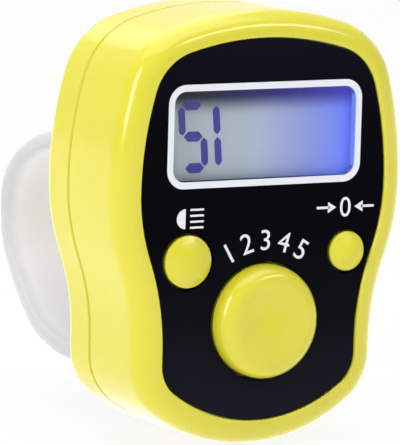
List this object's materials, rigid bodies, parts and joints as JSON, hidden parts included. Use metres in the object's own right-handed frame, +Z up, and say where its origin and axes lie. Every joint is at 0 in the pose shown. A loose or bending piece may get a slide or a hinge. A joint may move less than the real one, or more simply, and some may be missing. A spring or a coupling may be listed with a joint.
{
  "type": "finger tally counter",
  "caption": "Finger-worn electronic tally counter: waisted yellow case with a black face, display window, large count button, small side buttons and a soft finger loop behind.",
  "frame": {"origin": "on the axis of the finger loop's round end, midway across the band", "axes": "+Z up along the case, +X along the finger to the right as seen from the front, -Y out of the face"},
  "size_m": [0.032, 0.04, 0.0418],
  "materials": {
    "yellow_plastic": "moulded, soft gloss",
    "face_black": "glossy sheet",
    "border_white": "printed",
    "adhesive": "matt film",
    "clear_pane": "clear",
    "display_glass": "satin grey, lit blue",
    "light_plastic": "milky",
    "lamp_blue": "clear tint",
    "contact_rubber": "matt",
    "board_green": "lacquered",
    "dark_resin": "satin",
    "chip_ceramic": "matt",
    "plunger_white": "satin",
    "cell_steel": "nickel plated",
    "contact_steel": "tin plated",
    "screw_steel": "zinc plated",
    "loop_silicone": "soft matt"
  },
  "bodies": {
    "case": {"front_shell": "yellow_plastic", "back_shell": "yellow_plastic", "fascia_panel": "face_black", "fascia_tape": "adhesive", "window_frame": "border_white", "window_lens": "clear_pane", "lcd_front_glass": "display_glass", "lcd_rear_glass": "display_glass", "light_guide": "light_plastic", "backlight_led": "lamp_blue", "zebra_strip": "contact_rubber", "pcb": "board_green", "chip_blob": "dark_resin", "smd_parts": "chip_ceramic", "count_switch": "dark_resin", "lamp_switch": "dark_resin", "reset_switch": "dark_resin", "battery_cells": "cell_steel", "minus_spring": "contact_steel", "plus_contact": "contact_steel", "case_screws": "screw_steel", "pcb_screws": "screw_steel", "strap": "loop_silicone"},
    "count_key": {"count_button": "yellow_plastic", "count_plunger": "plunger_white"},
    "lamp_key": {"lamp_button": "yellow_plastic", "lamp_plunger": "plunger_white"},
    "reset_key": {"reset_button": "yellow_plastic", "reset_plunger": "plunger_white"},
    "door": {"battery_door": "yellow_plastic", "door_screws": "screw_steel"}
  },
  "joints": [
    {"name": "count_press", "type": "slide", "parent": "case", "child": "count_key", "axis": [0, 1, 0], "range_m": [0, 0.0005], "stiffness_N_per_m": 1600},
    {"name": "lamp_press", "type": "slide", "parent": "case", "child": "lamp_key", "axis": [0, 1, 0], "range_m": [0, 0.0004], "stiffness_N_per_m": 1600},
    {"name": "reset_press", "type": "slide", "parent": "case", "child": "reset_key", "axis": [0, 1, 0], "range_m": [0, 0.0004], "stiffness_N_per_m": 1600},
    {"name": "door_lift", "type": "slide", "parent": "case", "child": "door", "axis": [0, 1, 0], "range_m": [0, 0.01]}
  ]
}
